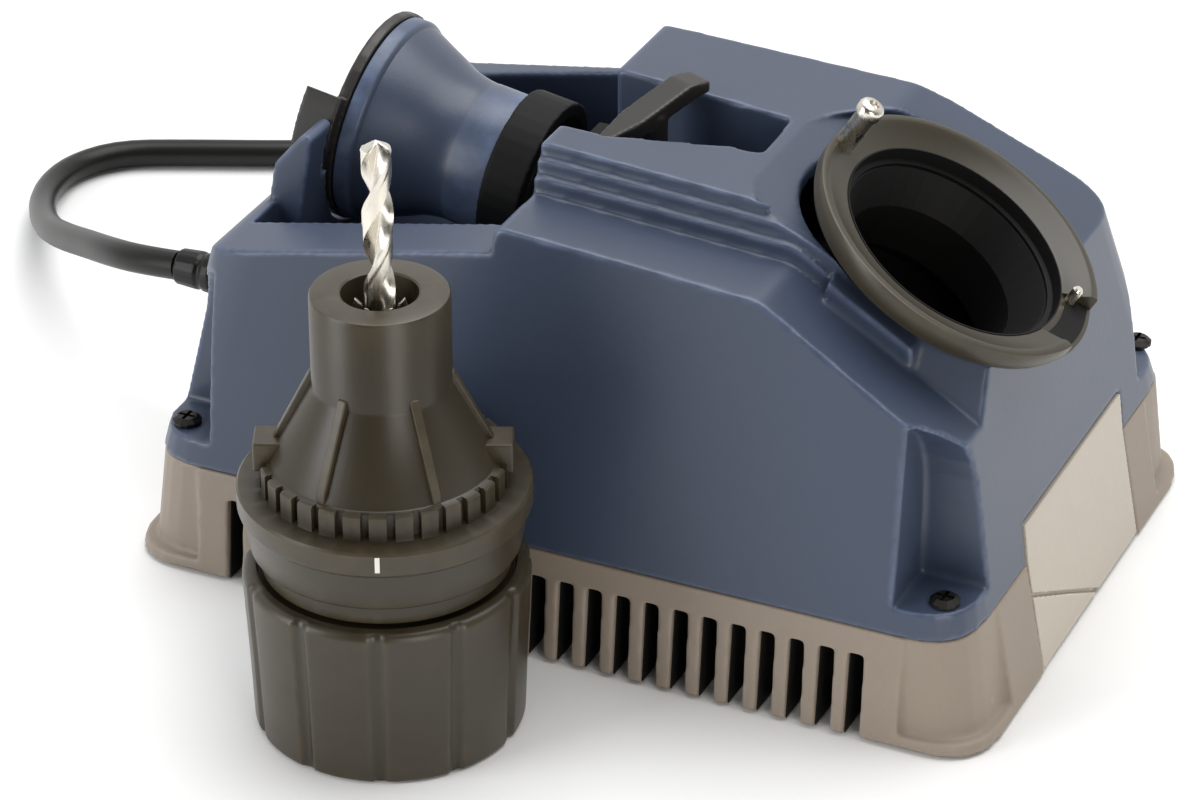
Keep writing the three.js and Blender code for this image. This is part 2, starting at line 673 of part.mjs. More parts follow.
function brush(side) {
  const y = [side * 6.8, side * 13].sort((a, b) => a - b);
  return box(-2, 2, ...y, -43, -39);
}

function coolingFan() {
  const hub = ring(6, SHAFT_RADIUS + GAP, 13, 20, 20);
  const disc = ring(16, 5, 18.6, 20, 32);
  const blades = [];
  for (let i = 0; i < 9; i += 1) {
    blades.push(box(5, 15.6, -0.6, 0.6, 13.4, 19).rotate([0, 0, i * 40]));
  }
  return join(hub, disc, ...blades);
}

function diamondWheel() {
  const { x0, x1, radius: r } = WHEEL;
  return turned([
    [SHAFT_RADIUS + GAP, x0], [r - 0.6, x0], [r, x0 + 0.6], [r, x1 - 0.6], [r - 0.6, x1], [r - 3, x1],
    [r - 3, x0 + 6],
    [6, x0 + 6], [6, x1 - 4], [SHAFT_RADIUS + GAP, x1 - 4],
  ], 32);
}

function wheelNut() {
  const nut = rod(5, WHEEL.x1 - 3.6, WHEEL.x1 + 1, 6);
  return nut.subtract(rod(SHAFT_RADIUS + GAP, 0, 80, 20));
}

function motorCradle() {
  const room = rodAlongX(MOTOR.radius + GAP, -70, 30, 48).translate([0, MOTOR.y, MOTOR.z]);
  const rail = box(-43, 3, MOTOR.y - 16, MOTOR.y + 16, PLATE.top + GAP, 5.4);
  const saddles = [-43, -4].map((x) => box(x, x + 7, MOTOR.y - 18, MOTOR.y + 18, PLATE.top + GAP, 20));
  return join(rail, ...saddles).subtract(room);
}

// Trough that catches the grit under the wheel.
function gritTray() {
  const shell = cut(rodAlongX(20.4, -18, 18, 40), rodAlongX(18.6, -16.5, 16.5, 40));
  const tray = shell.intersect(box(-30, 30, -30, 30, -30, 0));
  const shaftWay = box(-40, 40, -5, 5, -6, 10);
  return tray.subtract(shaftWay).translate([41.5, MOTOR.y, MOTOR.z]);
}

function rectifierBoard() {
  const board = box(-86, -60, 10, 44, 10, 11.6);
  const bridge = box(-82, -72, 16, 26, 11.4, 18);
  const capacitor = rod(5, 11.4, 27, 24).translate([-69, 36, 0]);
  const corners = [[-84, 12], [-62, 12], [-84, 42], [-62, 42]];
  const posts = corners.map(([x, y]) => rod(1.8, 4.3, 10.2, 12).translate([x, y, 0]));
  return join(board, bridge, capacitor, ...posts);
}

// Rocker switch in the rear of the base.
function switchBody() {
  const { x, z, width: w, height: h } = SWITCH;
  const frame = box(x - w / 2 - 1.6, x + w / 2 + 1.6, 69.8, 71.4, z - h / 2 - 1.6, z + h / 2 + 1.6);
  const can = box(x - w / 2 + GAP, x + w / 2 - GAP, 55, 70.2, z - h / 2 + GAP, z + h / 2 - GAP);
  const pocket = box(x - w / 2 + 1.8, x + w / 2 - 1.8, 62, 80, z - h / 2 + 1.8, z + h / 2 - 1.8);
  return join(frame, can).subtract(pocket);
}

const ROCKER = { y: 68.2, tilt: 9 };

// Two faces meet in a shallow valley; at rest the left face is pressed in.
function switchRocker() {
  const { x, width: w, height: h } = SWITCH;
  const half = w / 2 - 2.6;
  const deep = h / 2 - 2.2;
  const outline = [[-half, 2.8], [0, 1.2], [half, 2.8], [half, -0.8], [2, -4.4], [-2, -4.4], [-half, -0.8]];
  const key = raised(outline, -deep, deep).rotate([0, 0, ROCKER.tilt]);
  return key.translate([x, ROCKER.y, SWITCH.z]);
}

// ---------------------------------------------------------------- chuck
function chuckKnob() {
  const body = turned([
    [0, 0], [28.4, 0], [29.4, 1], [30.6, 36.4], [29.4, 37.6], [12, 37.6], [12, 44], [0, 44],
  ], 36);
  const grooves = [];
  for (let i = 0; i < KNOB_GROOVES; i += 1) {
    const groove = rod(2, -1, 40, 8).translate([31, 0, 0]);
    grooves.push(groove.rotate([0, 0, i * (360 / KNOB_GROOVES) - 90]));
  }
  return cut(body, rod(3.4, 38, 60, 20), ...grooves);
}

function chuckScrew() {
  return rod(3, 38.4, 45.4, 20);
}

function chuckBody() {
  const { bore, noseRadius: nose, top } = CHUCK;
  const cone = { z0: 63.4, z1: 80.7, r0: 24 };
  const outline = [
    [12.4, 38], [26.6, 38], [26.6, 42.4], [28.5, 42.4], [30.2, 51.6], [31, 52.4], [31, 57.6], [26, 57.6],
    [26, cone.z0], [cone.r0, cone.z0], [nose, cone.z1], [nose, top], [bore - 1, top], [bore - 1, 58], [19, 54],
    [19, 47], [12.4, 47],
  ];
  const ribs = [];
  for (let i = 0; i < 6; i += 1) {
    const rib = alongY([[10, 60], [23.6, 60], [23.6, 66], [nose + 0.2, 83.5], [10, 83.5]], -0.9, 0.9);
    ribs.push(rib.rotate([0, 0, i * 60]));
  }
  const lugs = [0, 180].map((turn) => box(20, 27, -4.2, 4.2, 60, 67.6).rotate([0, 0, turn]));
  const teeth = [];
  for (let i = 0; i < 30; i += 1) {
    teeth.push(box(24.8, 28, -0.9, 0.9, 58.6, 65).rotate([0, 0, 6 + i * 12]));
  }
  const notch = box(-1.1, 1.1, -20, -5, top - 1.8, top + 2);
  const mark = box(-1, 1, -33, -30.4, 53, 57.2);
  const solid = cut(turned(outline, 48), ...teeth);
  return cut(join(solid, ...ribs, ...lugs), rod(bore, 54, 110, 24), notch, mark);
}

function indexMark() {
  return box(-0.5, 0.5, -31, -30.7, 53.3, 56.9);
}

function jawCarrier() {
  const slots = [];
  for (let i = 0; i < JAWS; i += 1) {
    slots.push(box(0, 7.9, -0.9, 0.9, 58, 70).rotate([0, 0, i * 60]));
  }
  return cut(ring(7.6, BIT.radius + 0.5, 60, 64, 36), ...slots).add(ring(7.6, BIT.radius + 0.5, 57.4, 60, 36));
}

// Steel blade whose inner edge grips the bit.
function chuckJaw(index) {
  const blade = alongY([[3.6, 60.4], [6.2, 60.4], [6.2, 97.4], [5.2, 100.2], [3.6, 98.6]], -0.55, 0.55);
  return blade.rotate([0, 0, index * (360 / JAWS)]);
}

// Twist drill: two flutes wound round a core, a plain shank below.
function drillBit() {
  const r = BIT.radius;
  const point = r / Math.tan(rad(BIT.point / 2));
  const blank = turned([
    [0, BIT.bottom], [r - 0.3, BIT.bottom], [r, BIT.bottom + 0.3], [r, BIT.tip - point], [0, BIT.tip],
  ], 20);
  const lead = 34;
  const fluteFrom = 78;
  const sections = 16;
  const flute = [0, 180].map((start) => {
    const path = [];
    for (let i = 0; i <= sections; i += 1) {
      const z = fluteFrom + (i / sections) * (BIT.tip + 4 - fluteFrom);
      const a = rad(start) + (2 * Math.PI * (BIT.tip - z)) / -lead;
      const off = r * 1.02;
      path.push(new THREE.Vector3(off * Math.cos(a), off * Math.sin(a), z));
    }
    const curve = new THREE.CatmullRomCurve3(path);
    const section = new THREE.Shape().absarc(0, 0, r * 0.62, 0, 2 * Math.PI, false);
    const options = { steps: sections, extrudePath: curve, curveSegments: 3, bevelEnabled: false };
    return toSolid(new THREE.ExtrudeGeometry(section, options));
  });
  return cut(blank, ...flute);
}

// ---------------------------------------------------------------- cord
// Middle line of the loose stretch: down from the strain relief, round a loop on the bench and
// along behind the machine to the coil.
const CORD_PATH = [
  [-118.8, -12, 42.4], [-130, -11, 41], [-143, -3, 36.4], [-156, 9, 29.6], [-170, 22, 22], [-184, 36, 14.6],
  [-196, 52, 8.6], [-205, 68, 5], [-208, 84, 3.6], [-201, 98, 3.6], [-184, 106, 3.6], [-163, 115, 3.6],
  [-140, 126, 3.6], [-116, 139, 3.6], [-92, 153, 3.6], [-71, 166, 4.2], [-52, 172, 4.7],
];
const COIL = { x: -24, y: 132, inner: 31.3, outer: 45.7, bottom: 1.2, top: 21.8 };
const PLUG = { x: -49.2, y: 90, z: 9.2 };

function cordTube() {
  const points = CORD_PATH.map((p) => new THREE.Vector3(...p));
  const curve = new THREE.CatmullRomCurve3(points, false, 'centripetal');
  const section = new THREE.Shape().absarc(0, 0, CORD_RADIUS, 0, 2 * Math.PI, false);
  const options = { steps: 34, extrudePath: curve, curveSegments: 5, bevelEnabled: false };
  return toSolid(new THREE.ExtrudeGeometry(section, options));
}

// Tapered, ribbed sleeve clamped in the housing wall.
function strainRelief() {
  const flange = alongX([
    [-5, -4, 2], [5, -4, 2], [5, 4, 2], [-5, 4, 2],
  ], -1, 9, 3);
  const sleeve = turned([[0, 0], [6, 0], [5.4, 6], [4.3, RELIEF.length], [0, RELIEF.length]], 16);
  const grooves = [8, 12, 16].map((z) => ring(8, 4.3, z, z + 1.6, 16));
  const along = cut(sleeve, ...grooves).rotate([0, -90, 0]);
  const bore = rod(CORD_RADIUS + 0.2, RELIEF.length - 3, 40, 16).rotate([0, -90, 0]);
  return join(flange, along).subtract(bore);
}

function cordCoil() {
  return ring(COIL.outer, COIL.inner, COIL.bottom, COIL.top, 48).translate([COIL.x, COIL.y, 0]);
}

// Strap round the coil's turns.
function coilTie() {
  const { x, y, inner, outer, bottom, top } = COIL;
  const strap = box(x + inner - 1.4, x + outer + 1.4, y - 3, y + 3, 0, top + 1.3);
  return strap.subtract(box(x + inner - 0.6, x + outer + 0.4, y - 9, y + 9, bottom - 0.4, top + 0.3));
}

// Moulded two-blade plug lying on the bench, blades to the left.
function plug() {
  const { x, y, z } = PLUG;
  const neck = rod(3.9, 0, 20, 20, 7).rotate([0, -90, 0]).translate([x, y, z]);
  const body = raised([
    [x - 19, y - 8, 3], [x - 19, y + 8, 3], [x - 26, y + 12.5, 5], [x - 44, y + 12.5, 3], [x - 44, y - 12.5, 3],
    [x - 26, y - 12.5, 5],
  ], z - 8.6, z + 8.6);
  const blades = [-1, 1].map((side) => {
    const middle = y + side * 6.35;
    return box(x - 61, x - 43, middle - 0.75, middle + 0.75, z - 3.2, z + 3.2);
  });
  return join(body, neck, ...blades);
}

// ---------------------------------------------------------------- assembly
addPart(machine, 'base_shell', baseShell(), TAUPE);
addPart(machine, 'bottom_plate', bottomPlate(), TAUPE);
FEET.forEach(([x, y], i) => addPart(machine, `rubber_foot_${i + 1}`, foot(), RUBBER).position.set(x, y, 0));
addPart(machine, 'top_housing', topHousing(), BLUE);
screwPlaces().forEach(([x, y], i) => {
  addPart(machine, `housing_screw_${i + 1}`, housingScrew(), DARK_STEEL).position.set(x, y, 0);
});
addPart(machine, 'access_door', accessDoor(), PALE);

addPart(port, 'port_ring', portRing(), BLACK);
addPart(port, 'sharpening_tube', sharpeningTube(), BLACK);
addPart(port, 'cam_pin', camPin(), STEEL).position.set(-31, 0, 0);
addPart(port, 'index_pin', indexPin(), STEEL).position.set(INDEX_PIN.x, INDEX_PIN.y, 0);
addPart(machine, 'pivot_post_front', pivotPost(-1), BLACK);
addPart(machine, 'pivot_post_rear', pivotPost(1), BLACK);

const lever = leverGroup();
addPart(lever, 'angle_lock_lever', lockLever(), BLACK);

addPart(horn, 'alignment_horn', alignmentHorn(), BLUE);
addPart(horn, 'timing_ring', timingRing(), BLACK);
addPart(machine, 'alignment_tube', alignmentTube(), BLACK);
addPart(machine, 'alignment_plate', alignmentPlate(), BLACK);
addPart(machine, 'timing_finger_front', timingFinger(-1), BLACK);
addPart(machine, 'timing_finger_rear', timingFinger(1), BLACK);

addPart(motor, 'motor_case', motorCase(), DARK_STEEL);
addPart(motor, 'motor_shaft', motorShaft(), STEEL);
addPart(motor, 'armature', armature(), COPPER);
addPart(motor, 'bearing_left', bearing(MOTOR.x0 + 0.2), STEEL);
addPart(motor, 'bearing_right', bearing(MOTOR.x1 - 5.2), STEEL);
addPart(motor, 'magnet_upper', magnet(1), CARBON);
addPart(motor, 'magnet_lower', magnet(-1), CARBON);
addPart(motor, 'brush_front', brush(-1), CARBON);
addPart(motor, 'brush_rear', brush(1), CARBON);
addPart(motor, 'cooling_fan', coolingFan(), BLACK);
addPart(motor, 'diamond_wheel', diamondWheel(), GRIT);
addPart(motor, 'wheel_nut', wheelNut(), STEEL);
addPart(machine, 'motor_cradle', motorCradle(), BLACK);
addPart(machine, 'grit_tray', gritTray(), BLACK);
addPart(machine, 'rectifier_board', rectifierBoard(), BOARD);
addPart(machine, 'switch_body', switchBody(), BLACK);
addPart(machine, 'switch_rocker', switchRocker(), BLACK);

addPart(chuck, 'chuck_knob', chuckKnob(), CHUCK_BLACK);
addPart(chuck, 'chuck_screw', chuckScrew(), STEEL);
addPart(chuck, 'chuck_body', chuckBody(), CHUCK_BLACK);
addPart(chuck, 'index_mark', indexMark(), WHITE);
addPart(chuck, 'jaw_carrier', jawCarrier(), BLACK);
for (let i = 0; i < JAWS; i += 1) addPart(chuck, `chuck_jaw_${i + 1}`, chuckJaw(i), STEEL);
addPart(chuck, 'drill_bit', drillBit(), STEEL);

const relief = addPart(machine, 'strain_relief', strainRelief(), RUBBER);
relief.position.set(RELIEF.x, RELIEF.y, RELIEF.z);
addPart(machine, 'power_cord', cordTube(), RUBBER);
addPart(machine, 'cord_coil', cordCoil(), RUBBER);
addPart(machine, 'coil_tie', coilTie(), BLACK);
addPart(machine, 'plug', plug(), RUBBER);

// ---------------------------------------------------------------- frame
// The origin is at the bench, under the middle of everything but the cord and its fittings.
const CORD_PARTS = ['strain_relief', 'power_cord', 'cord_coil', 'coil_tie', 'plug'];

function footprintMiddle() {
  assembly.updateMatrixWorld(true);
  const bounds = new THREE.Box3();
  assembly.traverse((piece) => {
    if (piece.isMesh && !CORD_PARTS.includes(piece.name)) bounds.expandByObject(piece, true);
  });
  return bounds.getCenter(new THREE.Vector3()).setZ(0);
}

const sharpener = new THREE.Group();
assembly.position.copy(footprintMiddle()).negate();
sharpener.add(assembly);

export default sharpener;
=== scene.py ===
"""Drill bit sharpener with its chuck: the looks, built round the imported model. Metres, +Z up."""

import math

import bmesh
import bpy
from mathutils import Matrix, Vector


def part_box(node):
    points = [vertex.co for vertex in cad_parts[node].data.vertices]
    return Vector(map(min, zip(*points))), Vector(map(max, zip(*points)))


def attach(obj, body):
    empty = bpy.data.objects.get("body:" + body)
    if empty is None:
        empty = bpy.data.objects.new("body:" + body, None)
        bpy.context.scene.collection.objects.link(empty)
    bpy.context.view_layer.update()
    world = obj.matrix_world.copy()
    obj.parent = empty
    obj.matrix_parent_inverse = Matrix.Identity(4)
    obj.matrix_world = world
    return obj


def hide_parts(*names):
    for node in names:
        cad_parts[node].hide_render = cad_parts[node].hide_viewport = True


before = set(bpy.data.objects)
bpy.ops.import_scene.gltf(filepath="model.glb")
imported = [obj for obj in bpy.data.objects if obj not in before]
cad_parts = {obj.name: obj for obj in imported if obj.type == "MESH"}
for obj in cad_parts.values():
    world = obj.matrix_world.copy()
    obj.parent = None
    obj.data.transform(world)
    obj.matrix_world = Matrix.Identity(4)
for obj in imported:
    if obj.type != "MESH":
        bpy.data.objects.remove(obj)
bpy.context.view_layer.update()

# ---------------------------------------------------------------- places
MM = 0.001
BASE_LOW, BASE_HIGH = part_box("base_shell")
MIDDLE = Vector(((BASE_LOW.x + BASE_HIGH.x) / 2, (BASE_LOW.y + BASE_HIGH.y) / 2, 0))
PORT_LEAN = math.radians(31)
HORN_LEAN = math.radians(10)
CHUCK_TURN = math.radians(24)
FULL_TURN = 360


def at(x, y, z):
    """A point given in millimetres from the middle of the base, as metres in the row frame."""
    return MIDDLE + Vector((x, y, z)) * MM


def place(point, lean=0.0, turn=0.0):
    """Where a piece drawn in millimetres round its own Z axis goes."""
    spin = Matrix.Rotation(lean, 4, "Y") @ Matrix.Rotation(turn, 4, "Z")
    return Matrix.Translation(point) @ spin @ Matrix.Scale(MM, 4)


PORT_CENTRE = at(74.5, -16, 95.6)
HORN_CENTRE = at(-74, 0, 86)
CHUCK_FOOT = at(-20.4, -99.7, 0)
PORT = place(PORT_CENTRE, lean=PORT_LEAN)
HORN = place(HORN_CENTRE, lean=HORN_LEAN - math.pi / 2)
CHUCK = place(CHUCK_FOOT, turn=CHUCK_TURN)
MACHINE = place(MIDDLE)

# ---------------------------------------------------------------- camera
CAMERA = {
    "point": (362.2, -827.7, 550.1), "azimuth": 24.6, "elevation": 30.0, "lens": 138.0, "sensor": 36,
}


def add_camera():
    """The camera looks down on the object from the front right."""
    azimuth = math.radians(CAMERA["azimuth"])
    elevation = math.radians(CAMERA["elevation"])
    look = Vector((
        -math.sin(azimuth) * math.cos(elevation),
        math.cos(azimuth) * math.cos(elevation),
        -math.sin(elevation),
    ))
    data = bpy.data.cameras.new("camera")
    data.lens = CAMERA["lens"]
    data.sensor_width = CAMERA["sensor"]
    data.clip_start = 0.01
    data.clip_end = 20
    camera = bpy.data.objects.new("camera", data)
    bpy.context.scene.collection.objects.link(camera)
    camera.location = at(*CAMERA["point"])
    camera.rotation_mode = "QUATERNION"
    camera.rotation_quaternion = look.to_track_quat("-Z", "Y")
    bpy.context.scene.camera = camera


# ---------------------------------------------------------------- materials
NOISE_ROUGHNESS = 0.55
PLASTIC = {  # noise scales per metre, how far the colour and gloss drift, and how much the specks show
    "cloud": 14, "fine": 1500, "medium": 420, "edge_patches": 180,
    "drift": 0.1, "glossier": 0.06, "duller": 0.07, "speck": 0.14, "speck_tone": 1.25,
    "fine_bump": 0.5, "medium_bump": 0.25,
}
METAL = {  # noise scales per metre, the scratches' depth in metres, and how far colour and gloss drift
    "scratch": 900, "cloud": 60, "depth": 0.00003,
    "dark": 0.8, "light": 1.1, "smoother": 0.1, "rougher": 0.14, "bump": 0.5,
}
GRIT_GRAINS = {"scale": 2600, "depth": 0.0001, "bump": 0.8}
FLOOR_CLOUD = 3
FLOOR_TONES = ((0.93, 0.93, 0.925), (0.95, 0.95, 0.945))


def node_tree(name):
    """A new material with its node tree and its shader node."""
    material = bpy.data.materials.new(name)
    material.use_nodes = True
    tree = material.node_tree
    return material, tree, tree.nodes["Principled BSDF"]


def add_node(tree, kind, **inputs):
    """A shader node with its inputs set by name, with _ for a space."""
    node = tree.nodes.new(kind)
    for key, value in inputs.items():
        node.inputs[key.replace("_", " ")].default_value = value
    return node


def object_space(tree, stretch=(1, 1, 1)):
    """Object coordinates in metres, stretched along its axes."""
    source = tree.nodes.new("ShaderNodeTexCoord")
    mapping = add_node(tree, "ShaderNodeMapping", Scale=stretch)
    tree.links.new(source.outputs["Object"], mapping.inputs["Vector"])
    return mapping.outputs["Vector"]


def noise(tree, space, scale, detail, roughness=NOISE_ROUGHNESS):
    node = add_node(tree, "ShaderNodeTexNoise", Scale=scale, Detail=detail, Roughness=roughness)
    tree.links.new(space, node.inputs["Vector"])
    return node.outputs["Fac"]


def blend_colors(tree, factor, low, high, start=0.3, end=0.7):
    """Goes from the low colour to the high one as the factor goes from start to end."""
    ramp = tree.nodes.new("ShaderNodeValToRGB")
    ramp.color_ramp.elements[0].position = start
    ramp.color_ramp.elements[0].color = (*low, 1)
    ramp.color_ramp.elements[1].position = end
    ramp.color_ramp.elements[1].color = (*high, 1)
    tree.links.new(factor, ramp.inputs["Fac"])
    return ramp.outputs["Color"]


def mix_colors(tree, factor, first, second):
    """Mixes a linked colour with a fixed one."""
    mix = tree.nodes.new("ShaderNodeMix")
    mix.data_type = "RGBA"
    tree.links.new(factor, mix.inputs["Factor"])
    tree.links.new(first, mix.inputs["A"])
    mix.inputs["B"].default_value = (*second, 1)
    return mix.outputs["Result"]


def spread(tree, value, low, high, start=0.3, end=0.7):
    """Maps a value between start and end to the range from low to high."""
    node = add_node(tree, "ShaderNodeMapRange")
    node.inputs["From Min"].default_value = start
    node.inputs["From Max"].default_value = end
    node.inputs["To Min"].default_value = low
    node.inputs["To Max"].default_value = high
    tree.links.new(value, node.inputs["Value"])
    return node.outputs["Result"]


def bump(tree, shader, *layers):
    """Adds (height, strength, distance in metres) layers to the shader's normal, one over the other."""
    normal = None
    for height, strength, distance in layers:
        node = add_node(tree, "ShaderNodeBump", Strength=strength, Distance=distance)
        tree.links.new(height, node.inputs["Height"])
        if normal is not None:
            tree.links.new(normal, node.inputs["Normal"])
        normal = node.outputs["Normal"]
    tree.links.new(normal, shader.inputs["Normal"])


def edge_wear_and_highlight(tree):
    """About 0 on flat stretches and 1 on the sharpest outside edges, where the plastic is lightened:
    partly rubbing wear, partly a painted highlight along the edges.
    """
    geometry = tree.nodes.new("ShaderNodeNewGeometry")
    return spread(tree, geometry.outputs["Pointiness"], 0.0, 1.0, start=0.505, end=0.56)


def scaled(color, factor):
    return tuple(min(1.0, c * factor) for c in color)


def plastic(name, color, roughness, grain, wear_and_highlight_gain=1.35, shine=0.5):
    """Moulded plastic: fine texture, slow colour and gloss drift, dust specks, edges lighter: partly
    rubbing wear, partly painted highlight.
    """
    material, tree, shader = node_tree(name)
    space = object_space(tree)
    cloud = noise(tree, space, PLASTIC["cloud"], detail=3)
    fine = noise(tree, space, PLASTIC["fine"], detail=2)
    medium = noise(tree, space, PLASTIC["medium"], detail=3)
    edge_patches = noise(tree, space, PLASTIC["edge_patches"], detail=4)
    darker = scaled(color, 1 - PLASTIC["drift"])
    lighter = scaled(color, 1 + PLASTIC["drift"])
    base = blend_colors(tree, cloud, darker, lighter, start=0.1, end=0.9)
    speck = spread(tree, medium, 0.0, PLASTIC["speck"], start=0.5, end=0.72)
    tone = mix_colors(tree, speck, base, scaled(color, PLASTIC["speck_tone"]))
    wear_and_highlight = tree.nodes.new("ShaderNodeMath")
    wear_and_highlight.operation = "MULTIPLY"
    tree.links.new(edge_wear_and_highlight(tree), wear_and_highlight.inputs[0])
    tree.links.new(spread(tree, edge_patches, 0.15, 0.7), wear_and_highlight.inputs[1])
    # Edges lightened in patches: partly rubbing wear, partly painted highlight.
    worn_and_highlit_tone = mix_colors(tree, wear_and_highlight.outputs[0], tone, scaled(color, wear_and_highlight_gain))
    tree.links.new(worn_and_highlit_tone, shader.inputs["Base Color"])
    glossiest = roughness - PLASTIC["glossier"]
    dullest = roughness + PLASTIC["duller"]
    gloss = spread(tree, cloud, glossiest, dullest, start=0.1, end=0.9)
    tree.links.new(gloss, shader.inputs["Roughness"])
    shader.inputs["Specular IOR Level"].default_value = shine
    bump(tree, shader, (fine, PLASTIC["fine_bump"], grain), (medium, PLASTIC["medium_bump"], grain))
    return material


def metal(name, color, roughness, stretch=(1, 1, 1)):
    """Ground or drawn metal: scratches along one direction, slow tarnish."""
    material, tree, shader = node_tree(name)
    lines = noise(tree, object_space(tree, stretch), METAL["scratch"], detail=5, roughness=0.7)
    cloud = noise(tree, object_space(tree), METAL["cloud"], detail=3)
    tone = blend_colors(tree, cloud, scaled(color, METAL["dark"]), scaled(color, METAL["light"]))
    tree.links.new(tone, shader.inputs["Base Color"])
    shader.inputs["Metallic"].default_value = 1.0
    gloss = spread(tree, lines, roughness - METAL["smoother"], roughness + METAL["rougher"])
    tree.links.new(gloss, shader.inputs["Roughness"])
    bump(tree, shader, (lines, METAL["bump"], METAL["depth"]))
    return material


def bonded_grit(name, color):
    """Diamond grit in a plated bond."""
    material, tree, shader = node_tree(name)
    space = object_space(tree)
    grains = add_node(tree, "ShaderNodeTexVoronoi", Scale=GRIT_GRAINS["scale"])
    tree.links.new(space, grains.inputs["Vector"])
    from_middle = grains.outputs["Distance"]
    tone = blend_colors(tree, from_middle, scaled(color, 1.5), scaled(color, 0.6), start=0.1, end=0.6)
    tree.links.new(tone, shader.inputs["Base Color"])
    shader.inputs["Metallic"].default_value = 0.5
    gloss = spread(tree, from_middle, 0.35, 0.8, start=0.0, end=0.6)
    tree.links.new(gloss, shader.inputs["Roughness"])
    bump(tree, shader, (from_middle, GRIT_GRAINS["bump"], GRIT_GRAINS["depth"]))
    return material


def floor_white():
    """Matt studio white with a faint drift."""
    material, tree, shader = node_tree("floor")
    space = object_space(tree)
    cloud = noise(tree, space, FLOOR_CLOUD, detail=2)
    tone = blend_colors(tree, cloud, *FLOOR_TONES)
    tree.links.new(tone, shader.inputs["Base Color"])
    shader.inputs["Roughness"].default_value = 0.9
    return material


# The edge lightening set below is partly rubbing wear, partly painted highlight along the moulded
# edges.
BLUE = plastic("slate_blue_plastic", (0.044, 0.060, 0.100), 0.355, grain=0.00005, wear_and_highlight_gain=3.2)
TAUPE = plastic("warm_grey_plastic", (0.27, 0.222, 0.178), 0.5, grain=0.00006, wear_and_highlight_gain=1.3)
PALE = plastic("pale_grey_plastic", (0.47, 0.42, 0.35), 0.37, grain=0.00003, wear_and_highlight_gain=1.2)
BLACK = plastic("black_plastic", (0.016, 0.014, 0.012), 0.4, grain=0.00004, wear_and_highlight_gain=2.5)
OLIVE = plastic("olive_black_plastic", (0.032, 0.026, 0.014), 0.355, grain=0.00003, wear_and_highlight_gain=2.2)
CHUCK_BROWN = plastic("brown_black_plastic", (0.030, 0.023, 0.012), 0.355, grain=0.00004, wear_and_highlight_gain=2.6)
# Near-black: painted shade on the grille sheets, in the ring's bore and notch, and on the alignment
# tube; also the own colour of the pieces inside the housing.
DEEP_BLACK_AND_SHADE = plastic(
    "deep_black_plastic_and_painted_shade", (0.005, 0.005, 0.005), 0.62, grain=0.00004, wear_and_highlight_gain=1.5, shine=0.2,
)
RUBBER = plastic("black_rubber", (0.006, 0.006, 0.005), 0.36, grain=0.00006, wear_and_highlight_gain=1.6, shine=0.3)
SOFT_RUBBER = plastic("foot_rubber", (0.02, 0.02, 0.02), 0.8, grain=0.00012, wear_and_highlight_gain=1.6)
BOARD = plastic("board_green", (0.03, 0.11, 0.05), 0.45, grain=0.00003)
CARBON = plastic("pressed_carbon", (0.03, 0.03, 0.032), 0.6, grain=0.0001)
WHITE = plastic("mark_white", (0.80, 0.78, 0.72), 0.5, grain=0.00003, wear_and_highlight_gain=1.0)
BRIGHT = metal("bright_steel", (0.78, 0.74, 0.66), 0.28, stretch=(1, 1, 0.12))
TURNED = metal("turned_steel", (0.62, 0.60, 0.57), 0.34, stretch=(0.15, 1, 1))
PLATED = metal("plated_steel", (0.30, 0.29, 0.28), 0.4)
BLACKENED = metal("blackened_steel", (0.045, 0.042, 0.04), 0.45)
COPPER = metal("lacquered_copper", (0.62, 0.27, 0.12), 0.35, stretch=(1, 6, 1))
GRIT = bonded_grit("diamond_grit", (0.36, 0.34, 0.30))


# ---------------------------------------------------------------- mesh helpers
MERGE_DISTANCE = 1e-7  # metres
SHORTEST_EDGE = 1e-8  # metres
NEAR_AXIS = 0.001  # the radius at which a turned piece is closed, in millimetres
MARK_CLEARANCE = 0.3  # degrees round a step of a lathe piece that are kept free of other sections
MARK_HALF = 0.04  # degrees from a step to the section on each side of it


def make_object(name, mesh, material):
    """A new object in the scene, with one material."""
    mesh.materials.clear()
    mesh.materials.append(material)
    made = bpy.data.objects.new(name, mesh)
    bpy.context.scene.collection.objects.link(made)
    return made


def close_up(bm, angle):
    """Merges doubles, turns faces out and marks the edges that stay sharp."""
    bmesh.ops.remove_doubles(bm, verts=bm.verts, dist=MERGE_DISTANCE)
    bmesh.ops.dissolve_degenerate(bm, edges=bm.edges, dist=SHORTEST_EDGE)
    bmesh.ops.recalc_face_normals(bm, faces=bm.faces)
    limit = math.radians(angle)
    for face in bm.faces:
        face.smooth = True
    for edge in bm.edges:
        if len(edge.link_faces) == 2:
            edge.smooth = edge.calc_face_angle(0) < limit


def from_points(name, points, faces, transform, material, angle=32):
    """A mesh object from points in millimetres and faces that index them."""
    bm = bmesh.new()
    verts = [bm.verts.new(transform @ Vector(p)) for p in points]
    for face in faces:
        bm.faces.new([verts[i] for i in face])
    close_up(bm, angle)
    mesh = bpy.data.meshes.new(name)
    bm.to_mesh(mesh)
    bm.free()
    return make_object(name, mesh, material)


def signed_turn(turn):
    """The same turn between -180 and 180 degrees."""
    return (turn + FULL_TURN / 2) % FULL_TURN - FULL_TURN / 2


def on_circle(radius, turn):
    """A point (x, y) at this radius and turn in degrees."""
    a = math.radians(turn)
    return radius * math.cos(a), radius * math.sin(a)


def same_all_round(section):
    """An outline for lathe() that doesn't change with the turn."""
    return lambda turn: section


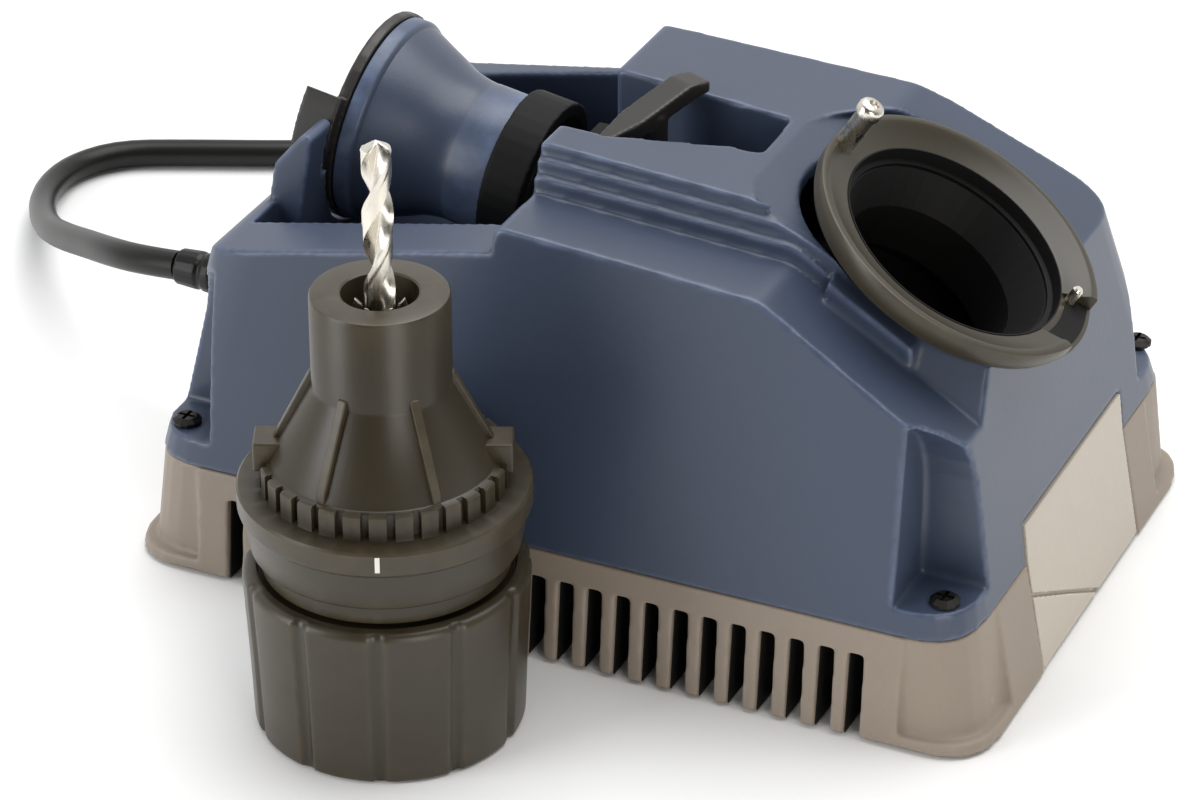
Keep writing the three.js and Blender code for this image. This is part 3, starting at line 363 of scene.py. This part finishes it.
def lathe(name, outline, transform, material, sides=144, marks=(), angle=32):
    """Turned piece. outline(turn) gives the same number of (radius, height) points at every turn, in
    degrees; the last point joins the first. marks are turns with a step, where two sections stand
    close together."""
    turns = {FULL_TURN * i / sides for i in range(sides)}
    for mark in marks:
        turns = {t for t in turns if abs(signed_turn(t - mark)) > MARK_CLEARANCE}
        turns |= {(mark - MARK_HALF) % FULL_TURN, (mark + MARK_HALF) % FULL_TURN}
    turns = sorted(turns)
    points = []
    for turn in turns:
        points += [(*on_circle(r, turn), z) for r, z in outline(turn)]
    count = len(points) // len(turns)
    faces = []
    for i in range(len(turns)):
        near = i * count
        far = (i + 1) % len(turns) * count
        for j in range(count):
            k = (j + 1) % count
            faces.append((near + j, far + j, far + k, near + k))
    return from_points(name, points, faces, transform, material, angle)


def rounded(corners, steps=4):
    """A closed line through (x, y, radius) corners, with each corner rounded by its radius."""
    line = []
    for i, (x, y, radius) in enumerate(corners):
        here = Vector((x, y))
        back = Vector(corners[i - 1][:2]) - here
        ahead = Vector(corners[(i + 1) % len(corners)][:2]) - here
        reach = radius / math.tan(back.angle(ahead) / 2)
        start = here + back.normalized() * reach
        end = here + ahead.normalized() * reach
        for step in range(steps + 1):
            t = step / steps
            point = start * (1 - t) ** 2 + here * 2 * t * (1 - t) + end * t ** 2
            line.append(tuple(point))
    return line


def prism(name, outline, low, high, transform, material, bevel=0.0, sides="XY"):
    """A slab: an outline in millimetres in the XY, XZ or YZ plane, carried from low to high."""
    order = {
        "XY": lambda a, b, c: (a, b, c),
        "XZ": lambda a, b, c: (a, c, b),
        "YZ": lambda a, b, c: (c, a, b),
    }
    count = len(outline)
    points = [order[sides](a, b, level) for level in (low, high) for a, b in outline]
    faces = [tuple(range(count)), tuple(range(2 * count - 1, count - 1, -1))]
    faces += [(i, (i + 1) % count, (i + 1) % count + count, i + count) for i in range(count)]
    made = from_points(name, points, faces, transform, material)
    if bevel:
        add_bevel(made, bevel)
    return made


def add_bevel(made, width, angle=40):
    """Rounds the edges that bend by more than the angle, by a width in millimetres."""
    modifier = made.modifiers.new("rounded_edges", "BEVEL")
    modifier.width = width * MM
    modifier.segments = 2
    modifier.limit_method = "ANGLE"
    modifier.angle_limit = math.radians(angle)
    for polygon in made.data.polygons:
        polygon.use_smooth = True


def settle(piece, body, slot, *nodes):
    """The piece rides on a body and stands for the named CAD nodes. The slot is not used."""
    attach(piece, body)
    if nodes:
        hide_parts(*nodes)


def moulded(name, node, body, slot, material, voxel, relax):
    """A CAD node cast again as one soft-edged moulding, which stands for the node: it is remeshed at
    voxel millimetres, then smoothed relax times."""
    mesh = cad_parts[node].data.copy()
    made = make_object(name, mesh, material)
    remesh = made.modifiers.new("cast", "REMESH")
    remesh.mode = "VOXEL"
    remesh.voxel_size = voxel * MM
    remesh.use_smooth_shade = True
    soften = made.modifiers.new("relax", "SMOOTH")
    soften.factor = 0.5
    soften.iterations = relax
    graph = bpy.context.evaluated_depsgraph_get()
    cast = bpy.data.meshes.new_from_object(made.evaluated_get(graph))
    made.modifiers.clear()
    made.data = cast
    cast.materials.clear()
    cast.materials.append(material)
    for polygon in cast.polygons:
        polygon.use_smooth = True
    settle(made, body, slot, node)
    return made


def dress(node, material, bevel=0.0):
    """A CAD node that stays as it is, with a finished material and softened edges."""
    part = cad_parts[node]
    part.data.materials.clear()
    part.data.materials.append(material)
    if bevel:
        add_bevel(part, bevel, angle=30)


# ---------------------------------------------------------------- cord
CORD_DIAMETER = 0.007
CORD_PATH = [
    (-118.8, -12, 42.4), (-130, -11, 41), (-143, -3, 36.4), (-156, 9, 29.6), (-170, 22, 22),
    (-184, 36, 14.6), (-196, 52, 8.6), (-205, 68, 5), (-208, 84, 3.6), (-201, 98, 3.6),
    (-184, 106, 3.6), (-163, 115, 3.6), (-140, 126, 3.6), (-116, 139, 3.6), (-92, 153, 3.6),
    (-71, 166, 4.2), (-52, 172, 4.7),
]
COIL = {"x": -24, "y": 132, "inner": 34.9, "outer": 42.1, "rows": (4.7, 11.5, 18.2), "start": 90}
COIL_STEPS = [  # (degrees travelled, column, row) where a change of the cord's lay starts or ends
    (320, "outer", 0), (360, "inner", 0), (640, "inner", 0), (680, "inner", 1), (960, "inner", 1),
    (1000, "inner", 2), (1280, "inner", 2), (1320, "outer", 2), (1600, "outer", 2), (1640, "outer", 1),
    (1980, "outer", 1),
]
CORD_TAIL = [(-36, 89.9, 10.4), (-48.6, 90, 9.2)]
COIL_STEP = 10  # degrees from point to point


def coil_points():
    """The turns of the coil, clockwise from its rear, changing column or row over short stretches."""
    points = []
    travelled = 0
    radius, height = COIL["outer"], COIL["rows"][0]
    for until, column, row in COIL_STEPS:
        goal_radius, goal_height = COIL[column], COIL["rows"][row]
        count = round((until - travelled) / COIL_STEP)
        for i in range(1, count + 1):
            t = i / count
            ease = t * t * (3 - 2 * t)
            r = radius + (goal_radius - radius) * ease
            z = height + (goal_height - height) * ease
            x, y = on_circle(r, COIL["start"] - travelled - (until - travelled) * t)
            points.append((COIL["x"] + x, COIL["y"] + y, z))
        travelled, radius, height = until, goal_radius, goal_height
    return points


def power_cord():
    """The cord from the strain relief, round the coil and into the plug."""
    points = CORD_PATH + coil_points() + CORD_TAIL
    data = bpy.data.curves.new("cord_run", "CURVE")
    data.dimensions = "3D"
    data.bevel_depth = CORD_DIAMETER / 2
    data.bevel_resolution = 5
    data.use_fill_caps = True
    data.resolution_u = 4
    spline = data.splines.new("NURBS")
    spline.points.add(len(points) - 1)
    for target, point in zip(spline.points, points):
        target.co = (*at(*point), 1)
    spline.order_u = 3
    spline.use_endpoint_u = True
    cord = bpy.data.objects.new("cord_run", data)
    data.materials.append(RUBBER)
    bpy.context.scene.collection.objects.link(cord)
    settle(cord, "machine", "rubber", "power_cord", "cord_coil")
    return cord


def cord_ends(cord):
    """The plug, the sleeve and the tie. The cord is not used."""
    plug = moulded("moulded_plug", "plug", "machine", "rubber", RUBBER, voxel=0.6, relax=4)
    relief = moulded("cord_sleeve", "strain_relief", "machine", "rubber", RUBBER, voxel=0.35, relax=2)
    dress("coil_tie", BLACK, bevel=0.3)


# ---------------------------------------------------------------- housing and base
def housing():
    moulded("housing_moulding", "top_housing", "machine", "housing", BLUE, voxel=0.6, relax=5)


GRILLE = {"pitch": 6.73, "slot": 3.5, "first": -74.5, "count": 23, "top": 20.1}


def grille_shade_sheets():
    """Near-black sheets on the right-hand side of every bar of the front grille: painted shade for the
    dark inside seen through the slots.
    """
    front_low, front_high, back, bottom, thickness = -69.0, -66.9, -59, 0.6, 0.3
    outline = [(front_low, bottom), (back, bottom), (back, GRILLE["top"]), (front_high, GRILLE["top"])]
    for i in range(GRILLE["count"]):
        low = GRILLE["first"] + i * GRILLE["pitch"] - GRILLE["slot"] / 2
        high = low + thickness
        shade_sheet = prism(f"grille_shade_sheet_{i + 1}", outline, low, high, MACHINE, DEEP_BLACK_AND_SHADE, sides="YZ")
        settle(shade_sheet, "machine", "base")


def base():
    """The shell on its feet, with its bottom plate and the screws that hold the housing down."""
    moulded("base_moulding", "base_shell", "machine", "base", TAUPE, voxel=0.6, relax=3)
    grille_shade_sheets()
    dress("bottom_plate", TAUPE, bevel=0.3)
    for i in range(1, 5):
        dress(f"rubber_foot_{i}", SOFT_RUBBER, bevel=0.3)
        dress(f"housing_screw_{i}", BLACKENED, bevel=0.15)


def door():
    moulded("door_panel", "access_door", "door", "door", PALE, voxel=0.25, relax=2)


def lock_lever():
    name, node = "lever_moulding", "angle_lock_lever"
    moulded(name, node, "lock_lever", "black_plastic", BLACK, voxel=0.4, relax=4)


# ---------------------------------------------------------------- sharpening port
RING = {"bore": 26.0, "rim": 33.8, "thick": 6.0, "notch": (-12.5, 21.5), "notch_depth": 3.0}


def port_ring():
    """The thick ring that the chuck turns in, with a notch across its face."""
    bore, rim, thick = RING["bore"], RING["rim"], RING["thick"]
    notch_low, notch_high = RING["notch"]

    def outline(turn):
        cut = notch_low < signed_turn(turn) < notch_high
        top = -RING["notch_depth"] if cut else 0.0
        return [
            (bore, -thick), (bore, -2.9), (bore + 0.2, -2.6), (bore + 1.2, min(-2.2, top)),
            (bore + 5.0, min(-0.8, top)), (bore + 6.0, min(-0.1, top)), (bore + 6.4, top),
            (rim - 0.5, top), (rim - 0.1, top - 0.15), (rim, top - 0.5), (rim, -thick + 2.6),
            (rim - 0.4, -thick + 1.6), (rim - 1.2, -thick + 0.2), (rim - 1.6, -thick),
        ]

    ring = lathe("port_rim", outline, PORT, OLIVE, sides=180, marks=RING["notch"], angle=28)
    settle(ring, "port", "black_plastic", "port_ring")


def port_throat_shade():
    """Near-black sheet inside the ring's bore: painted shade for the dark inside of the port."""
    bore, bottom, top = RING["bore"], -RING["thick"], -2.4
    section = [
        (bore - 1.4, bottom), (bore - 1.4, bottom + 0.4), (bore - 0.3, bottom + 0.7), (bore - 0.1, top),
        (bore + 0.2, top), (bore + 0.2, bottom),
    ]
    throat = lathe("port_throat_shade", same_all_round(section), PORT, DEEP_BLACK_AND_SHADE)
    settle(throat, "port", "black_plastic")


def port_notch_shade():
    """Near-black sheet on the floor of the ring's notch, painted shade: out along its inner arc and
    back along its outer one.
    """
    notch_low, notch_high = RING["notch"]
    low, high = -RING["notch_depth"] - 0.3, -RING["notch_depth"] + 0.1
    steps, gap = 8, 0.4
    middle = (notch_low + notch_high) / 2
    reach = (notch_high - notch_low) / 2 - gap
    outline = []
    for radius, way in ((RING["bore"] + 1.6, 1), (RING["rim"] - 1.0, -1)):
        for i in range(steps + 1):
            outline.append(on_circle(radius, middle + way * reach * (2 * i / steps - 1)))
    notch_shade = prism("port_notch_shade", outline, low, high, PORT, DEEP_BLACK_AND_SHADE)
    settle(notch_shade, "port", "black_plastic")


def port_tube():
    dress("sharpening_tube", DEEP_BLACK_AND_SHADE, bevel=0.2)
    dress("index_pin", BRIGHT, bevel=0.1)


CAM_PIN_RADIUS = 31  # from the ring's middle to the pin's


def cam_pin():
    """The turned pin that stands on the ring's upper edge."""
    place_of_pin = PORT @ Matrix.Translation((-CAM_PIN_RADIUS, 0, 0))
    section = [
        (NEAR_AXIS, -5.6), (2.1, -5.6), (2.3, -5.3), (2.3, 8.0), (2.45, 8.3), (2.85, 8.6), (2.9, 8.9),
        (2.9, 10.4), (2.7, 10.9), (2.2, 11.4), (1.2, 11.6), (1.0, 10.9), (NEAR_AXIS, 10.8),
    ]
    pin = lathe("cam_pin_turned", same_all_round(section), place_of_pin, BRIGHT, sides=48, angle=40)
    settle(pin, "port", "steel", "cam_pin")


# ---------------------------------------------------------------- alignment horn
def alignment_horn():
    """The flared horn that the chuck is set in, and the tube behind it."""
    rim, collar, bore, end = 24.5, 16.4, 15.0, -36.0
    section = [
        (bore, end), (collar - 0.3, end), (collar, end + 0.3), (collar, end + 9.2),
        (collar - 0.1, end + 9.6), (collar + 0.1, end + 12), (collar + 0.8, end + 15.5),
        (collar + 2.6, -16.5), (collar + 4.4, -12.2), (rim - 2.0, -8.4), (rim - 1.7, -7.4),
        (rim - 0.9, -6.8), (rim - 0.6, -6.2), (rim - 0.6, -3.5), (rim - 0.8, -3.3), (rim - 4.0, -3.3),
        (rim - 4.6, -6.0), (rim - 6.2, -11.5), (collar + 0.4, -17), (bore + 0.2, end + 12),
    ]
    horn = lathe("horn_moulding", same_all_round(section), HORN, BLUE)
    settle(horn, "machine", "housing", "alignment_horn")
    # The alignment tube is cast in the near-black as painted shade for the dark bay behind the horn.
    name, node = "alignment_tube_moulding", "alignment_tube"
    moulded(name, node, "machine", "black_plastic", DEEP_BLACK_AND_SHADE, voxel=0.45, relax=2)


def timing_ring():
    moulded("timing_ring_moulding", "timing_ring", "ring", "black_plastic", BLACK, voxel=0.35, relax=3)


# ---------------------------------------------------------------- chuck
GROOVES = {"count": 11, "first": -91.3, "half_width": 3.0, "depth": 0.75, "fullness": 0.6}
TEETH = {"count": 30, "half_slot": 1.9, "root": 24.6, "tip": 26.0}
JAWS = 6


def away_from_nearest(turn, pitch):
    """Degrees from a turn to the nearest multiple of the pitch."""
    return abs((turn + pitch / 2) % pitch - pitch / 2)


def chuck_knob():
    """The knob, wider toward its top, with rounded grooves down its side."""
    pitch = FULL_TURN / GROOVES["count"]

    def outline(turn):
        away = away_from_nearest(turn - GROOVES["first"], pitch) / GROOVES["half_width"]
        dip = GROOVES["depth"] * max(0.0, 1 - away ** 2) ** GROOVES["fullness"]
        return [
            (NEAR_AXIS, 0), (27.6, 0), (28.6 - dip, 0.4), (28.95 - dip, 1.4), (29.6 - dip, 18),
            (30.5 - dip, 35.4), (30.35 - dip, 36.6), (29.6 - dip, 37.3), (29.0 - dip, 37.6),
            (27.5, 37.6), (27.2, 36.6), (23.4, 36.4), (23.0, 37.6), (12, 37.6), (12, 43.6), (11.6, 44),
            (NEAR_AXIS, 44),
        ]

    knob = lathe("knob_moulding", outline, CHUCK, CHUCK_BROWN, sides=330, angle=40)
    settle(knob, "knob", "chuck_plastic", "chuck_knob")
    dress("chuck_screw", PLATED, bevel=0.1)


def chuck_body():
    """The flange with its ring of teeth, the cone and the nose."""
    pitch = FULL_TURN / TEETH["count"]
    half_slot = TEETH["half_slot"]
    marks = [side * half_slot + i * pitch for i in range(TEETH["count"]) for side in (-1, 1)]

    def outline(turn):
        in_slot = away_from_nearest(turn, pitch) < half_slot
        tooth = TEETH["root"] if in_slot else TEETH["tip"]
        return [
            (12.6, 38.2), (26.4, 38.2), (26.4, 42.6), (28.2, 42.8), (28.6, 43.4), (30.0, 51.2),
            (30.2, 51.8), (30.8, 52.3), (30.95, 52.8), (30.95, 57.0), (30.5, 57.5), (26.1, 57.6),
            (tooth, 58.0), (tooth, 63.0), (tooth - 0.4, 63.4), (24.0, 63.4), (23.7, 63.6),
            (15.0, 80.2), (14.6, 81.0), (14.6, 100.9), (14.3, 101.4), (13.7, 101.6), (8.5, 101.6),
            (8.1, 101.3), (8.0, 100.9), (8.0, 64), (8.0, 56), (18.8, 54), (18.8, 47.2), (12.6, 47.2),
        ]

    body = lathe("chuck_moulding", outline, CHUCK, CHUCK_BROWN, sides=180, marks=marks, angle=35)
    settle(body, "chuck", "chuck_plastic", "chuck_body")


def turned_chuck(turn):
    """The chuck's place, turned about its axis by some degrees."""
    return CHUCK @ Matrix.Rotation(math.radians(turn), 4, "Z")


def chuck_ribs():
    """A rib down the cone in the plane of every jaw."""
    half_thickness = 1.0
    outline = [(14, 62), (23.9, 62), (23.9, 65.6), (14.9, 83.2), (14, 83.4)]
    for i in range(JAWS):
        place_of_rib = turned_chuck(FULL_TURN / JAWS * i)
        rib = prism(
            f"chuck_rib_{i + 1}", outline, -half_thickness, half_thickness, place_of_rib,
            CHUCK_BROWN, bevel=0.25, sides="XZ",
        )
        settle(rib, "chuck", "chuck_plastic")


def chuck_lugs():
    """Two lugs on opposite sides, above the teeth."""
    low, high = 61, 67.6
    outline = rounded([(20, -4.1, 0.5), (27, -4.1, 0.6), (27, 4.1, 0.6), (20, 4.1, 0.5)])
    for i in range(2):
        place_of_lug = turned_chuck(FULL_TURN / 2 * i)
        lug = prism(f"chuck_lug_{i + 1}", outline, low, high, place_of_lug, CHUCK_BROWN, bevel=0.4)
        settle(lug, "chuck", "chuck_plastic")


def index_mark():
    dress("index_mark", WHITE)


def jaws():
    """The steel blades round the drill bit, and the carrier that holds them."""
    half_thickness = 0.5
    outline = [(3.62, 60.6), (6.1, 60.6), (6.1, 97.2), (5.1, 100.0), (3.62, 98.4)]
    for i in range(JAWS):
        place_of_blade = turned_chuck(FULL_TURN / JAWS * i)
        blade = prism(
            f"jaw_blade_{i + 1}", outline, -half_thickness, half_thickness, place_of_blade,
            BRIGHT, bevel=0.12, sides="XZ",
        )
        settle(blade, f"jaw_{i + 1}", "steel", f"chuck_jaw_{i + 1}")
    dress("jaw_carrier", BLACK, bevel=0.15)


BIT = {"radius": 3.25, "bottom": 46.0, "flutes": 76.0, "tip": 136.0, "point": 118.0, "lead": 34.0}
FLUTE = {  # turns in degrees, lengths in millimetres
    "margin": 22, "edge": 6, "width": 104, "relief": 0.16, "web": 0.75, "fullness": 0.75, "run_out": 7,
}


def drill_bit():
    """Two helical flutes with margins and a web, ground to a conical point."""
    radius, tip, lead = BIT["radius"], BIT["tip"], BIT["lead"]
    slope = math.tan(math.radians(BIT["point"] / 2))
    around, along = 72, 150
    margin, edge, relief = FLUTE["margin"], FLUTE["edge"], FLUTE["relief"]
    flute_start = FULL_TURN / 2 - FLUTE["width"]

    def section_radius(turn):
        """Radius of the cross-section at this turn, for flutes cut to their full depth."""
        t = turn % (FULL_TURN / 2)
        if t < margin:
            return radius
        if t < margin + edge:
            return radius - relief * (t - margin) / edge
        if t < flute_start:
            return radius - relief
        s = (t - flute_start) / FLUTE["width"]
        return radius - (radius - FLUTE["web"]) * math.sin(math.pi * s) ** FLUTE["fullness"]

    points = []
    for i in range(along + 1):
        z = BIT["bottom"] + (tip - BIT["bottom"]) * i / along
        cut = min(1, max(0, (z - BIT["flutes"]) / FLUTE["run_out"]))
        cut = cut * cut * (3 - 2 * cut)
        cone = max(NEAR_AXIS, (tip - z) * slope)
        twist = FULL_TURN * (z - tip) / lead
        for j in range(around):
            turn = FULL_TURN * j / around
            r = min(cone, radius + (section_radius(turn) - radius) * cut)
            points.append((*on_circle(r, turn + twist), z))
    faces = [tuple(range(around - 1, -1, -1))]
    for i in range(along):
        for j in range(around):
            k = (j + 1) % around
            faces.append((i * around + j, i * around + k, (i + 1) * around + k, (i + 1) * around + j))
    bit = from_points("twist_drill", points, faces, CHUCK, BRIGHT, angle=38)
    settle(bit, "bit", "steel", "drill_bit")


# ---------------------------------------------------------------- pieces inside
def inner_pieces():
    """What the housing hides keeps its CAD shape, with finished materials and softened edges."""
    for node in ("pivot_post_front", "pivot_post_rear", "alignment_plate", "timing_finger_front",
                 "timing_finger_rear", "motor_cradle", "grit_tray", "cooling_fan"):
        dress(node, DEEP_BLACK_AND_SHADE, bevel=0.15)
    for node in ("switch_body", "switch_rocker"):
        dress(node, BLACK, bevel=0.25)
    for node in ("motor_shaft", "bearing_left", "bearing_right", "wheel_nut"):
        dress(node, TURNED, bevel=0.1)
    for node in ("magnet_upper", "magnet_lower", "brush_front", "brush_rear"):
        dress(node, CARBON, bevel=0.1)
    dress("motor_case", PLATED, bevel=0.2)
    dress("armature", COPPER, bevel=0.1)
    dress("diamond_wheel", GRIT, bevel=0.1)
    dress("rectifier_board", BOARD, bevel=0.1)


# ---------------------------------------------------------------- stage
FLOOR = {"half_size": 15.0, "segments": 8, "drop": 0.0002}
WORLD = {"behind": 0.95, "front": 0.06, "start": -0.5, "end": 0.55}
LIGHTS = {
    "overhead": {
        "point": (100, 250, 1100), "target": (0, 0, 40), "size": (1.2, 0.9), "power": 11.5,
        "color": (1, 1, 1),
    },
    "right_side": {
        "point": (820, -780, 300), "target": (30, -20, 50), "size": (0.45, 0.8), "power": 4.5,
        "color": (1.0, 0.96, 0.9),
    },
    "left_side": {
        "point": (-700, -820, 360), "target": (-20, -20, 50), "size": (0.5, 0.9), "power": 6.5,
        "color": (0.97, 0.98, 1.0),
    },
}


def floor():
    """A wide white floor just under the object."""
    bm = bmesh.new()
    segments = FLOOR["segments"]
    bmesh.ops.create_grid(bm, x_segments=segments, y_segments=segments, size=FLOOR["half_size"])
    mesh = bpy.data.meshes.new("floor")
    bm.to_mesh(mesh)
    bm.free()
    ground = make_object("floor", mesh, floor_white())
    ground.location.z = -FLOOR["drop"]


def area_light(name, point, target, size, power, color):
    """A rectangular light at a point, aimed at a target: millimetres, with its size in metres."""
    data = bpy.data.lights.new(name, "AREA")
    data.shape = "RECTANGLE"
    data.size, data.size_y = size
    data.energy = power
    data.color = color
    light = bpy.data.objects.new(name, data)
    light.location = at(*point)
    aim = at(*target) - light.location
    light.rotation_mode = "QUATERNION"
    light.rotation_quaternion = aim.to_track_quat("-Z", "Y")
    bpy.context.scene.collection.objects.link(light)


def world_light():
    """An even studio glow, strong from behind the object and weak from the camera's side."""
    world = bpy.data.worlds.new("studio")
    bpy.context.scene.world = world
    world.use_nodes = True
    tree = world.node_tree
    background = tree.nodes["Background"]
    background.inputs["Color"].default_value = (1, 1, 1, 1)
    direction = tree.nodes.new("ShaderNodeTexCoord")
    toward_front = tree.nodes.new("ShaderNodeVectorMath")
    toward_front.operation = "DOT_PRODUCT"
    azimuth = math.radians(CAMERA["azimuth"])
    toward_front.inputs[1].default_value = (math.sin(azimuth), -math.cos(azimuth), 0)
    tree.links.new(direction.outputs["Generated"], toward_front.inputs[0])
    strength = spread(
        tree, toward_front.outputs["Value"], WORLD["behind"], WORLD["front"],
        start=WORLD["start"], end=WORLD["end"],
    )
    tree.links.new(strength, background.inputs["Strength"])


def lights():
    world_light()
    for name, light in LIGHTS.items():
        area_light(name, **light)
    bpy.context.scene.view_settings.view_transform = "Standard"


# ---------------------------------------------------------------- assembly
add_camera()
cord_ends(power_cord())
housing()
base()
door()
lock_lever()
port_ring()
port_throat_shade()
port_notch_shade()
port_tube()
cam_pin()
alignment_horn()
timing_ring()
chuck_knob()
chuck_body()
chuck_ribs()
chuck_lugs()
index_mark()
jaws()
drill_bit()
inner_pieces()
floor()
lights()
